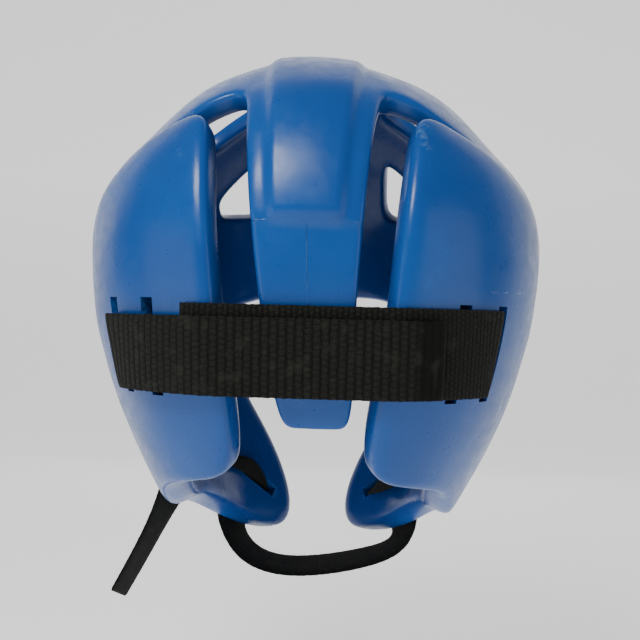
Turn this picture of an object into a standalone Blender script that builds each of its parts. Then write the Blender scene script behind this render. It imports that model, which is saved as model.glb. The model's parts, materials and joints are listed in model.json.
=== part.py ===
"""A moulded foam head guard: one foam shell, a rear elastic with its strap, and a chin strap.

Metres, +Z up, the face looks towards -Y. The origin is where the crown rests on a head.
The shell is a grid: columns turn about the ear axis, rows run from the middle out to each ear.
"""

import math

import bmesh
import bpy
import numpy as np
from mathutils import Vector
from mathutils.bvhtree import BVHTree

# The outside of the shell without its raised pads.
HALF_WIDTH = 0.0995
BACK_REACH = 0.108
FRONT_REACH = 0.110
CROWN_RISE = 0.0905
JAW_DROP = 0.157
EAR_DROP = 0.041
ROUNDNESS = 2.3

# Thickness of the bands, and how far the pads stand out from them.
BAND_WALL = 0.010
PAD_RISE = 0.007
PAD_WALL = BAND_WALL + PAD_RISE

# The oval opening over each ear.
EAR_HALF_LENGTH = 0.016
EAR_HALF_HEIGHT = 0.020

# The rear elastic, the strap that folds back over it, and their slots.
ELASTIC_WIDTH = 0.036
ELASTIC_THICK = 0.0022
STRAP_WIDTH = 0.031
STRAP_THICK = 0.0024
STRAP_LOW_EDGE = -0.1415
SLOT_WIDTH = 0.0065
SLOT_MARGIN = 0.004
INNER_SLOT_X = 0.062
OUTER_SLOT_X = 0.078
STRAP_END_X = -0.055
JOIN_X = 0.048

# The chin strap.
CHIN_WIDTH = 0.025
CHIN_THICK = 0.0022

CHIN_SLOT_WIDTH = 0.0060

GAP = 0.0007
SLACK = 0.0012

CROWN_LEVEL = BAND_WALL
WIDEST_LEVEL = CROWN_LEVEL - CROWN_RISE
EAR_LEVEL = WIDEST_LEVEL - EAR_DROP

# Horizontal sections below the widest level. Each value is a share: of the jaw drop, the half
# width, the front reach (where the section is widest), the front reach and the back reach.
SECTIONS = (
    # down, width, middle, front, back
    (0.00, 1.000, 0.00, 1.00, 1.00),
    (0.19, 0.975, 0.00, 1.00, 0.985),
    (0.38, 0.905, 0.05, 1.01, 0.94),
    (0.57, 0.805, 0.13, 1.00, 0.87),
    (0.76, 0.700, 0.24, 0.98, 0.77),
    (0.95, 0.570, 0.36, 0.94, 0.62),
    (1.15, 0.430, 0.44, 0.86, 0.46),
)

# One row for each column of the grid, from the brow over the crown, down the back and round
# under the jaw. The turns are degrees about the ear axis, from straight ahead over the crown.
# band and gap are the edges of the centre band and of the gap beside it, as shares of the half
# width. The kind is what lies between this column and the next one.
STATIONS = (
    # turn_mid, turn_side, band, gap, kind, rise_mid, rise_gap, rise_side
    (12, 9, 0.35, 0.57, "solid", 1.0, 1.0, 1.0),
    (24, 23, 0.36, 0.58, "solid", 1.0, 1.0, 1.0),
    (32, 33, 0.37, 0.60, "solid", 0.9, 0.9, 1.0),
    (36, 39, 0.37, 0.62, "vent", 0.2, 0.2, 0.8),
    (47, 42, 0.37, 0.63, "vent", 0.0, 0.0, 0.5),
    (57, 46, 0.36, 0.64, "solid", 0.0, 0.0, 0.3),
    (67, 57, 0.35, 0.65, "solid", 0.0, 0.0, 0.1),
    (76, 68, 0.34, 0.68, "vent", 0.0, 0.0, 0.0),
    (85, 80, 0.33, 0.70, "vent", 0.2, 0.0, 0.0),
    (95, 92, 0.33, 0.70, "vent", 0.3, 0.0, 0.0),
    (104, 104, 0.32, 0.68, "solid", 0.3, 0.0, 0.0),
    (114, 115, 0.32, 0.60, "solid", 0.3, 0.0, 0.0),
    (125, 127, 0.30, 0.50, "slit", 0.3, 0.0, 0.0),
    (131, 132, 0.28, 0.45, "vent", 0.3, 0.3, 0.4),
    (139, 138, 0.26, 0.41, "vent", 0.3, 1.0, 1.0),
    (148, 148, 0.24, 0.385, "vent", 0.2, 1.0, 1.0),
    (158, 158, 0.22, 0.365, "vent", 0.0, 1.0, 1.0),
    (168, 168, 0.20, 0.345, "vent", 0.0, 1.0, 1.0),
    (178, 178, 0.185, 0.325, "vent", 0.0, 1.0, 1.0),
    (189, 188, 0.17, 0.295, "vent", 0.0, 1.0, 1.0),
    (199, 197, 0.14, 0.27, "open", 0.0, 1.0, 1.0),
    (205, 205, 0.13, 0.265, "open", 0.0, 1.0, 1.0),
    (210, 211, 0.13, 0.28, "open", 0.0, 1.0, 1.0),
    (213, 215, 0.13, 0.40, "open", 0.0, 1.0, 1.0),
    (221, 222, 0.13, 0.52, "open", 0.0, 1.0, 1.0),
    (234, 234, 0.13, 0.59, "open", 0.0, 1.0, 1.0),
    (250, 250, 0.13, 0.60, "open", 0.0, 1.0, 1.0),
    (268, 268, 0.13, 0.61, "open", 0.0, 1.0, 1.0),
    (284, 284, 0.13, 0.62, "open", 0.0, 1.0, 1.0),
    (297, 297, 0.13, 0.58, "open", 0.0, 1.0, 1.0),
    (304, 304, 0.13, 0.49, "open", 0.0, 1.0, 1.0),
    (309, 308, 0.13, 0.36, "open", 0.0, 1.0, 1.0),
    (313, 311, 0.13, 0.21, "open", 0.0, 1.0, 1.0),
    (318, 316, 0.13, 0.16, "open", 0.0, 1.0, 1.0),
    (324, 323, 0.13, 0.22, "open", 0.0, 1.0, 1.0),
    (330, 330, 0.13, 0.32, "open", 0.0, 1.0, 1.0),
    (338, 338, 0.13, 0.44, "open", 0.0, 1.0, 1.0),
    (348, 348, 0.13, 0.54, "open", 0.0, 1.0, 1.0),
    (359, 358, 0.13, 0.58, "open", 0.0, 1.0, 1.0),
)

# The chin strap, from the end fixed in the right cheek lobe, under the chin and through both
# slots of the left lobe to its free end. Shares: of the half width, the front reach, and the jaw
# drop below the widest level. A slot is passed through outwards or inwards. A point in the open
# gives the way that the strap's outer face looks.
CHIN_PATH = (
    # across, along, down, kind, facing
    (-0.466, -0.566, 0.688, "free", (-0.50, -0.60, -0.50)),
    (-0.505, -0.867, 0.828, "slot_out", (0.00, 0.00, 0.00)),
    (-0.592, -0.779, 0.917, "out", (0.00, 0.00, 0.00)),
    (-0.534, -0.726, 1.019, "free", (-0.75, -0.20, -0.60)),
    (-0.291, -0.708, 1.051, "free", (-0.25, -0.20, -0.95)),
    (-0.058, -0.690, 1.089, "free", (-0.10, -0.20, -0.98)),
    (0.194, -0.681, 1.127, "free", (0.00, -0.20, -0.98)),
    (0.408, -0.690, 1.102, "free", (0.30, -0.20, -0.93)),
    (0.534, -0.726, 1.019, "free", (0.75, -0.20, -0.60)),
    (0.592, -0.779, 0.917, "out", (0.00, 0.00, 0.00)),
    (0.505, -0.867, 0.828, "slot_in", (0.00, 0.00, 0.00)),
    (0.466, -0.566, 0.688, "free", (0.50, -0.60, -0.50)),
    (0.718, -0.637, 0.701, "slot_out", (0.00, 0.00, 0.00)),
    (0.786, -0.566, 0.783, "free", (0.85, -0.30, -0.40)),
    (0.845, -0.478, 0.898, "free", (0.87, -0.10, -0.45)),
    (0.932, -0.398, 1.019, "free", (0.87, 0.00, -0.45)),
    (1.029, -0.336, 1.140, "free", (0.87, 0.00, -0.45)),
)

# Shares of the way from the gap's outer edge to the ear rim.
SIDE_ROWS = (0.25, 0.48, 0.73, 1.0)
CELLS_ACROSS_HALF = 8
OPEN_CELLS = {
    "solid": (),
    "vent": (2, 3),
    "slit": (2, 3, 4),
    "open": (0, 1, 2, 3),
}


def column(table, index):
    """Return one column of a table as an array of floats."""
    return np.array([row[index] for row in table], dtype=float)


def section_sizes(level):
    """Return half width, widest y, front reach and back reach of the sections at these levels."""
    up = np.clip((level - WIDEST_LEVEL) / CROWN_RISE, 0.0, 1.0)
    dome = np.sqrt(np.clip(1.0 - up**2, 1e-9, 1.0))
    down = np.clip((WIDEST_LEVEL - level) / JAW_DROP, 0.0, SECTIONS[-1][0])
    steps = column(SECTIONS, 0)
    width, middle, front, back = (np.interp(down, steps, column(SECTIONS, k)) for k in (1, 2, 3, 4))
    middle_y = -middle * FRONT_REACH
    half = HALF_WIDTH * width * dome
    return half, middle_y, FRONT_REACH * front * dome + middle_y, BACK_REACH * back * dome - middle_y


def outside(x, y, level):
    """Return how far outside the bare shell a point lies: zero is on it, below zero is within."""
    half, middle_y, front, back = section_sizes(level)
    along = np.where(y < middle_y, (middle_y - y) / front, (y - middle_y) / back)
    reach = np.abs(x / half) ** ROUNDNESS + np.abs(along) ** ROUNDNESS - 1.0
    return np.where(level >= CROWN_LEVEL, 1.0 + (level - CROWN_LEVEL), reach)


def first_crossing(start, heading):
    """Return how far along each heading the bare shell is met, by halving steps 40 times."""
    low = np.zeros(heading.shape[:-1])
    high = np.full(heading.shape[:-1], 0.35)
    for _ in range(40):
        middle = (low + high) / 2
        spot = start + heading * middle[..., None]
        within = outside(spot[..., 0], spot[..., 1], spot[..., 2]) < 0
        low = np.where(within, middle, low)
        high = np.where(within, high, middle)
    return (low + high) / 2


def shell_points(lean, turn):
    """Return bare shell points for angles from the ear axis and turns about it, both in radians."""
    heading = np.stack(
        [np.cos(lean), -np.sin(lean) * np.cos(turn), np.sin(lean) * np.sin(turn)], axis=-1
    )
    start = np.array([0.0, 0.0, EAR_LEVEL])
    return start + heading * first_crossing(start, heading)[..., None]


def lean_at(x, turn):
    """Return the angle from the ear axis at which the shell is this far from the middle."""
    start = np.stack([x, np.zeros_like(x), np.full_like(x, EAR_LEVEL)], axis=-1)
    heading = np.stack([np.zeros_like(x), -np.cos(turn), np.sin(turn)], axis=-1)
    return np.arctan2(first_crossing(start, heading), x)


def half_grid():
    """Return leans, turns and pad rises of the grid from the middle to one ear rim."""
    turn_mid = np.radians(column(STATIONS, 0))
    turn_side = np.radians(column(STATIONS, 1))
    band = column(STATIONS, 2) * HALF_WIDTH
    gap = column(STATIONS, 3) * HALF_WIDTH
    turn_between = (turn_mid + turn_side) / 2
    ear = np.arctan2(
        EAR_HALF_LENGTH * EAR_HALF_HEIGHT
        / np.hypot(EAR_HALF_HEIGHT * np.cos(turn_side), EAR_HALF_LENGTH * np.sin(turn_side)),
        HALF_WIDTH,
    )
    gap_lean = lean_at(gap, turn_side)
    leans = [np.full_like(band, math.pi / 2), lean_at(band * 0.55, turn_mid), lean_at(band, turn_mid)]
    leans += [lean_at((band + gap) / 2, turn_between), gap_lean]
    leans += [gap_lean + (ear - gap_lean) * share for share in SIDE_ROWS]
    turns = [turn_mid] * 3 + [turn_between] + [turn_side] * 5
    mid, at_gap, side = (column(STATIONS, k) * PAD_RISE for k in (5, 6, 7))
    full = np.full_like(mid, PAD_RISE)
    rises = [mid, mid, mid * 0.4 + at_gap * 0.0, (mid + at_gap) / 2, at_gap, side, full, full, full]
    rises[2] = np.where(column(STATIONS, 5) > 0.5, mid, mid * 0.2)
    return np.array(leans).T, np.array(turns).T, np.array(rises).T


def shell_layers():
    """Return the outer and inner points of the whole grid, from one ear rim to the other."""
    lean, turn, rise = half_grid()
    step = 1e-3
    bare = shell_points(lean, turn)
    across = shell_points(lean + step, turn) - shell_points(lean - step, turn)
    along = shell_points(lean, turn + step) - shell_points(lean, turn - step)
    normal = np.cross(along, across)
    normal /= np.linalg.norm(normal, axis=-1, keepdims=True)
    normal *= np.sign(np.sum(normal * (bare - [0, 0, EAR_LEVEL]), axis=-1, keepdims=True))
    outer = bare + normal * rise[..., None]
    inner = bare - normal * BAND_WALL
    mirror = np.array([-1.0, 1.0, 1.0])
    return tuple(
        np.concatenate([(side * mirror)[:, :0:-1], side], axis=1) for side in (outer, inner)
    )


def present_cells():
    """Return which cells of the whole grid hold foam, as rows of columns."""
    half = np.ones((len(STATIONS), CELLS_ACROSS_HALF), dtype=bool)
    for index, row in enumerate(STATIONS):
        half[index, list(OPEN_CELLS[row[4]])] = False
    return np.concatenate([half[:, ::-1], half], axis=1)


def shell_faces(cells, row_length):
    """Return the faces of the outer and inner layers and of the rims between them."""
    columns, across = cells.shape
    layer = columns * row_length
    faces = []

    def at(column_index, row_index, inner):
        return inner * layer + (column_index % columns) * row_length + row_index

    for i in range(columns):
        for j in range(across):
            if not cells[i, j]:
                continue
            ring = [(i, j), (i + 1, j), (i + 1, j + 1), (i, j + 1)]
            faces.append([at(a, b, 0) for a, b in ring])
            faces.append([at(a, b, 1) for a, b in reversed(ring)])
            sides = (
                (ring[0], ring[1], j == 0 or not cells[i, j - 1]),
                (ring[1], ring[2], not cells[(i + 1) % columns, j]),
                (ring[2], ring[3], j == across - 1 or not cells[i, j + 1]),
                (ring[3], ring[0], not cells[i - 1, j]),
            )
            for start, end, is_rim in sides:
                if is_rim:
                    faces.append([at(*start, 0), at(*start, 1), at(*end, 1), at(*end, 0)])
    return faces


def make_material(name, colour, roughness):
    """Return a new plain material."""
    material = bpy.data.materials.new(name)
    material.use_nodes = True
    shader = material.node_tree.nodes["Principled BSDF"]
    shader.inputs["Base Color"].default_value = (*colour, 1.0)
    shader.inputs["Roughness"].default_value = roughness
    return material


def make_object(name, points, faces, material, smooth=True):
    """Link a mesh made of these points and faces, with its unused points dropped."""
    mesh = bpy.data.meshes.new(name)
    mesh.from_pydata([tuple(map(float, point)) for point in points], [], faces)
    working = bmesh.new()
    working.from_mesh(mesh)
    loose = [vertex for vertex in working.verts if not vertex.link_faces]
    bmesh.ops.delete(working, geom=loose, context="VERTS")
    bmesh.ops.recalc_face_normals(working, faces=working.faces)
    working.to_mesh(mesh)
    working.free()
    for face in mesh.polygons:
        face.use_smooth = smooth
    mesh.materials.append(material)
    made = bpy.data.objects.new(name, mesh)
    bpy.context.scene.collection.objects.link(made)
    return made


def make_shell():
    """Make the foam shell and round it off with one level of subdivision."""
    outer, inner = shell_layers()
    cells = present_cells()
    faces = shell_faces(cells, outer.shape[1])
    points = np.concatenate([outer.reshape(-1, 3), inner.reshape(-1, 3)])
    shell = make_object("foam_shell", points, faces, make_material("blue_foam", (0.02, 0.09, 0.42), 0.3))
    smoother = shell.modifiers.new("rounding", "SUBSURF")
    smoother.levels = 1
    smoother.render_levels = 1
    return shell


def unit(vector):
    """Return this vector with a length of one."""
    return np.asarray(vector, float) / np.linalg.norm(vector)


class Skin:
    """The faces of the shell before its slots are cut, which the straps and slots are laid on."""

    def __init__(self, shell):
        """Read the rounded mesh of this shell."""
        graph = bpy.context.evaluated_depsgraph_get()
        whole = shell.evaluated_get(graph).to_mesh()
        corners = [vertex.co.copy() for vertex in whole.vertices]
        self.tree = BVHTree.FromPolygons(corners, [list(face.vertices) for face in whole.polygons])
        shell.evaluated_get(graph).to_mesh_clear()

    def back(self, x, level, inner=False):
        """Return the point and outward normal of the back wall at this x and level."""
        start = Vector((x, 0.0 if inner else 0.4, level))
        spot, normal, _, _ = self.tree.ray_cast(start, Vector((0, 1 if inner else -1, 0)))
        return None if spot is None else (np.array(spot), unit(normal))

    def cast(self, start, heading):
        """Return the first point of the shell met from here in this direction."""
        return np.array(self.tree.ray_cast(Vector(start), Vector(heading))[0])

    def near(self, point):
        """Return the point of the shell nearest to this one and the normal there."""
        spot, normal, _, _ = self.tree.find_nearest(Vector(point))
        return np.array(spot), unit(normal)


def rounded(points, corners, radius, steps=4):
    """Return a path with the corners at these places rounded, and each point's place in the old one."""
    points = [np.asarray(point, float) for point in points]
    path, places = [points[0]], [0]
    for place in range(1, len(points) - 1):
        before, corner, after = points[place - 1 : place + 2]
        if place not in corners:
            path.append(corner)
            places.append(place)
            continue
        places += [place] * steps
        start = corner + unit(before - corner) * min(radius, 0.45 * np.linalg.norm(before - corner))
        end = corner + unit(after - corner) * min(radius, 0.45 * np.linalg.norm(after - corner))
        for share in np.linspace(0, 1, steps):
            path.append((1 - share) ** 2 * start + 2 * share * (1 - share) * corner + share**2 * end)
    return np.array(path + [points[-1]]), places + [len(points) - 1]


def tangents(path):
    """Return the unit direction of a path at each of its points."""
    steps = np.diff(path, axis=0)
    steps /= np.linalg.norm(steps, axis=1, keepdims=True)
    both = np.concatenate([steps[:1], steps[:-1] + steps[1:], steps[-1:]])
    return both / np.linalg.norm(both, axis=1, keepdims=True)


def make_ribbon(name, edges, material):
    """Make a flat strap from its long edges, given as rows of points in ring order."""
    count, around = len(edges[0]), len(edges)
    points = np.stack(edges, axis=1).reshape(-1, 3)
    ring = np.arange(around)
    faces = [ring.tolist(), (around * (count - 1) + ring[::-1]).tolist()]
    for i in range(count - 1):
        for k in range(around):
            a, b = around * i + k, around * i + (k + 1) % around
            faces.append([a, b, b + around, a + around])
    return make_object(name, points, faces, material, smooth=False)


def back_ribbon(name, path_at, width, thick, material):
    """Make a strap that runs round the back, from its path at its low, middle and high levels."""
    inner, outer = [], []
    for level in np.linspace(STRAP_LOW_EDGE, STRAP_LOW_EDGE + width, 3):
        points, corners = path_at(level)
        path, _ = rounded(points, corners, 0.002)
        side = np.cross(tangents(path), [0.0, 0.0, 1.0])
        side /= np.linalg.norm(side, axis=1, keepdims=True)
        inner.append(path - side * thick / 2)
        outer.append(path + side * thick / 2)
    return make_ribbon(name, inner + outer[::-1], material)


class Slot:
    """An upright slot in a rear panel, as a line in plan through the wall."""

    def __init__(self, skin, side, x):
        """Lay the line square to the panel, at the middle height of the elastic."""
        spot, normal = skin.back(side * x, STRAP_LOW_EDGE + ELASTIC_WIDTH / 2)
        self.skin = skin
        self.normal = unit([normal[0], normal[1], 0])
        self.spot = spot

    def ends(self, level):
        """Return where the line meets the outer and the inner side of the wall at this level."""
        middle = np.array([self.spot[0], self.spot[1], level])
        outer = self.skin.cast(middle + self.normal * 0.1, -self.normal)
        inner = self.skin.cast(middle - self.normal * 2.5 * PAD_WALL, self.normal)
        return outer, inner


def through_bridge(skin, side, level, thick, enter_lift, leave_lift):
    """Return the path from the mouth of an inner slot, behind the bridge and out of the outer slot."""
    first, second = Slot(skin, side, INNER_SLOT_X), Slot(skin, side, OUTER_SLOT_X)
    (mouth, low), (far, end) = first.ends(level), second.ends(level)
    inside = thick / 2 + GAP
    return [
        mouth + first.normal * enter_lift,
        low - first.normal * inside,
        end - second.normal * inside,
        far + second.normal * leave_lift,
    ]


def run_across(skin, level, start_x, end_x, lift):
    """Return the taut path over the rear panels and the tongue, from one x to another."""
    taut = []
    for x in np.linspace(min(start_x, end_x), max(start_x, end_x), 34):
        found = skin.back(x, level)
        if found is None or found[0][1] < 0:
            continue
        spot = found[0] + unit([found[1][0], found[1][1], 0]) * lift
        while len(taut) > 1 and turns_in(taut[-2], taut[-1], spot):
            taut.pop()
        taut.append(spot)
    taut = np.array(taut)
    stops = np.linspace(start_x, end_x, max(3, round(abs(end_x - start_x) / 0.007)))
    return [np.array([x, np.interp(x, taut[:, 0], taut[:, 1]), level]) for x in stops]


def turns_in(first, middle, last):
    """Return whether a path seen from above bends towards the head at its middle point."""
    one, two = middle - first, last - first
    return one[0] * two[1] - one[1] * two[0] >= 0


def make_rear_straps(skin):
    """Make the elastic and the strap that carries on from it and folds back over it."""
    low_lift = SLACK + ELASTIC_THICK / 2
    top_lift = SLACK + STRAP_THICK + GAP + STRAP_THICK / 2

    def elastic(level):
        loop = through_bridge(skin, -1, level, ELASTIC_THICK, -0.001, low_lift)
        run = run_across(skin, level, -OUTER_SLOT_X + 0.004, JOIN_X, low_lift)
        return loop + run, range(1, 4)

    def strap(level):
        under = run_across(skin, level, JOIN_X + GAP, INNER_SLOT_X - 0.004, low_lift)
        loop = through_bridge(skin, 1, level, STRAP_THICK, low_lift, top_lift)
        run = run_across(skin, level, OUTER_SLOT_X - 0.004, STRAP_END_X, top_lift)
        return under + loop + run, range(len(under), len(under) + 4)

    weave = make_material("black_elastic", (0.012, 0.012, 0.011), 0.9)
    back_ribbon("rear_elastic", elastic, ELASTIC_WIDTH, ELASTIC_THICK, weave)
    ribbed = make_material("black_strap", (0.014, 0.014, 0.012), 0.95)
    back_ribbon("rear_strap", strap, STRAP_WIDTH, STRAP_THICK, ribbed)


def chin_stops(skin):
    """Return the chin strap's points, outward faces and corners, and its slots."""
    lift = CHIN_THICK / 2 + 1.5 * SLACK
    points, faces, corners, slots = [], [], [], []
    for across, along, down, kind, facing in CHIN_PATH:
        spot = np.array([across * HALF_WIDTH, along * FRONT_REACH, WIDEST_LEVEL - down * JAW_DROP])
        if kind == "free":
            points.append(spot)
            faces.append(unit(facing))
            continue
        spot, normal = skin.near(spot)
        if kind in ("in", "out"):
            points.append(spot + normal * lift)
            faces.append(-normal if kind == "in" else normal)
            continue
        inner = skin.cast(spot - normal * 2.5 * PAD_WALL, normal)
        ends = [inner - normal * lift, spot + normal * lift]
        corners += [len(points), len(points) + 1]
        slots.append((len(points), spot, normal))
        points += ends if kind == "slot_out" else ends[::-1]
        faces += [normal, normal]
    return points, faces, corners, slots


def make_chin_strap(shell, skin):
    """Make the chin strap and cut the slots that it goes through."""
    points, faces, corners, slots = chin_stops(skin)
    ways = tangents(np.array(points))
    widths = [unit(np.cross(way, face)) for way, face in zip(ways, faces)]
    for number, (place, spot, normal) in enumerate(slots):
        far = points[place + 2] if CHIN_PATH[place - number][3] == "slot_out" else points[place - 1]
        along = unit(np.cross(far - spot, normal))
        widths[place] = widths[place + 1] = along
        size = (CHIN_WIDTH + 2 * SLOT_MARGIN * 0.6, CHIN_SLOT_WIDTH, 3 * PAD_WALL)
        cut_slot(shell, f"chin_slot_{number}", spot - normal * PAD_WALL / 2, normal, along, size)
    for place in range(1, len(widths)):
        if np.dot(widths[place], widths[place - 1]) < 0:
            widths[place] = -widths[place]
    path, places = rounded(points, corners, 0.0025)
    width = np.array([widths[place] for place in places])
    side = np.cross(width, tangents(path))
    side *= CHIN_THICK / 2 / np.linalg.norm(side, axis=1, keepdims=True)
    edges = [path + a * width * CHIN_WIDTH / 2 + b * side for a, b in ((-1, -1), (-1, 1), (1, 1), (1, -1))]
    make_ribbon("chin_strap", edges, make_material("black_webbing", (0.012, 0.012, 0.011), 1.0))


def cut_slot(shell, name, centre, normal, along, size):
    """Cut one slot of this length, width and depth, with its length along this direction."""
    length, width, depth = size
    normal = unit(normal)
    along = unit(np.asarray(along) - normal * np.dot(along, normal))
    across = np.cross(along, normal)
    corners = []
    for a, b, c in ((a, b, c) for a in (-1, 1) for b in (-1, 1) for c in (-1, 1)):
        corners.append(centre + across * a * width / 2 + along * b * length / 2 + normal * c * depth / 2)
    faces = [[0, 1, 3, 2], [4, 6, 7, 5], [0, 4, 5, 1], [2, 3, 7, 6], [0, 2, 6, 4], [1, 5, 7, 3]]
    cutter = make_object(name, corners, faces, shell.data.materials[0], smooth=False)
    cutter.hide_render = True
    cutter.display_type = "WIRE"
    slot = shell.modifiers.new(name, "BOOLEAN")
    slot.operation = "DIFFERENCE"
    slot.solver = "EXACT"
    slot.object = cutter


def cut_rear_slots(shell, skin):
    """Cut the two upright slots of each rear panel."""
    middle = STRAP_LOW_EDGE + ELASTIC_WIDTH / 2
    for side, hand in ((-1, "right"), (1, "left")):
        for label, x in (("inner", INNER_SLOT_X), ("outer", OUTER_SLOT_X)):
            slot = Slot(skin, side, x)
            centre = slot.spot - slot.normal * PAD_WALL / 2
            length = ELASTIC_WIDTH + 2 * SLOT_MARGIN
            size = (length, SLOT_WIDTH, 3 * PAD_WALL)
            cut_slot(shell, f"rear_slot_{label}_{hand}", centre, slot.normal, [0, 0, 1], size)


def main():
    """Build the head guard in an empty scene."""
    for old in list(bpy.data.objects):
        bpy.data.objects.remove(old)
    shell = make_shell()
    skin = Skin(shell)
    cut_rear_slots(shell, skin)
    make_rear_straps(skin)
    make_chin_strap(shell, skin)


main()
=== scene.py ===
"""A blue moulded-foam head guard with a black rear elastic, a strap and a chin strap.

Metres, +Z up, the face looks towards -Y and the camera stands behind the guard. The shell is one
grid: columns turn about the ear axis and rows run from the middle out to each ear. Each strap is
a flat section swept along a path that is laid on the shell.
"""

from __future__ import annotations

import json
import logging
import math
from dataclasses import dataclass, field
from enum import Enum

import bmesh
import bpy
import numpy as np
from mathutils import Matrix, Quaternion, Vector
from mathutils.bvhtree import BVHTree

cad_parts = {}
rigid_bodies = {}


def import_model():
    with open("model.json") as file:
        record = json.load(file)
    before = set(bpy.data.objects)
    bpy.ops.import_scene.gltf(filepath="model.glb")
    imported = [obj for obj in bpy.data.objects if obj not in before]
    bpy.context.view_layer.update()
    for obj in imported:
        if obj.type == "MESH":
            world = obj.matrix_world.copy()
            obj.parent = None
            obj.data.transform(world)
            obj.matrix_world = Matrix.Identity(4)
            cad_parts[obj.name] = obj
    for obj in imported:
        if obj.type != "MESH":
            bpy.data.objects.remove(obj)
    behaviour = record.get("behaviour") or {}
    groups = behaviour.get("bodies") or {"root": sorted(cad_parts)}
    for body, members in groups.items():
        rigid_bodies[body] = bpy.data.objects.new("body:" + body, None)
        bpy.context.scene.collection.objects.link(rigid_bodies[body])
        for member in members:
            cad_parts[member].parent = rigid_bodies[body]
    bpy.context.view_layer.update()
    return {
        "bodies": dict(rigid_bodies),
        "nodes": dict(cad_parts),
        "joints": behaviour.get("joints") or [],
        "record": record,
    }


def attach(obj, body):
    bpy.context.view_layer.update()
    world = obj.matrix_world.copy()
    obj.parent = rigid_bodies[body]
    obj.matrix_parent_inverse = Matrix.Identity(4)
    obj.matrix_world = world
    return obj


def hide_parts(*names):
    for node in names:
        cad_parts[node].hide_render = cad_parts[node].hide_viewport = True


LOG = logging.getLogger("head_guard")

HALF_WIDTH = 0.0995
BACK_REACH = 0.108
FRONT_REACH = 0.110
CROWN_RISE = 0.0905
JAW_DROP = 0.157
EAR_DROP = 0.041
ROUNDNESS = 2.3
BAND_WALL = 0.010
PAD_RISE = 0.007
PAD_WALL = BAND_WALL + PAD_RISE
EAR_HALF_LENGTH = 0.016
EAR_HALF_HEIGHT = 0.020
ELASTIC_WIDTH = 0.036
ELASTIC_THICK = 0.0022
STRAP_WIDTH = 0.031
STRAP_THICK = 0.0024
STRAP_LOW_EDGE = -0.1415
SLOT_WIDTH = 0.0065
SLOT_MARGIN = 0.0018
INNER_SLOT_X = 0.062
OUTER_SLOT_X = 0.078
STRAP_END_X = -0.055
JOIN_X = 0.048
CHIN_WIDTH = 0.025
CHIN_THICK = 0.0022
CHIN_SLOT_WIDTH = 0.0060
GAP = 0.0007
SLACK = 0.0009
CROWN_LEVEL = BAND_WALL
WIDEST_LEVEL = CROWN_LEVEL - CROWN_RISE
EAR_LEVEL = WIDEST_LEVEL - EAR_DROP
EYE_LEVEL = WIDEST_LEVEL - 0.029

SECTIONS = np.array(
    [
        # down, width, middle, front, back
        (0.00, 1.000, 0.00, 1.00, 1.00),
        (0.19, 0.972, 0.00, 1.00, 0.985),
        (0.38, 0.895, 0.05, 1.01, 0.94),
        (0.57, 0.780, 0.13, 1.00, 0.87),
        (0.76, 0.635, 0.24, 0.98, 0.77),
        (0.95, 0.500, 0.36, 0.94, 0.62),
        (1.15, 0.370, 0.44, 0.86, 0.46),
    ]
)


class Lies(Enum):
    """What lies between one column of the shell's grid and the next: the cells left open."""

    SOLID = ()
    VENT = (2, 3)
    SLIT = (2, 3, 4)
    OPEN = (0, 1, 2, 3)


class Way(Enum):
    """How a point of the chin strap's path is placed."""

    FREE = "free"
    ON_OUTSIDE = "on the outside of the shell"
    SLOT_OUTWARDS = "through a slot, from inside to outside"
    SLOT_INWARDS = "through a slot, from outside to inside"


@dataclass(frozen=True)
class Station:
    """One column of the shell's grid.

    turn_mid and turn_side are degrees about the ear axis, for the band and for the side. band and
    gap are the edges of the centre band and of the gap beside it, as shares of the half width.
    The rises are shares of the pad's rise.
    """

    turn_mid: float
    turn_side: float
    band: float
    gap: float
    lies: Lies
    rise_mid: float
    rise_gap: float
    rise_side: float


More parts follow.
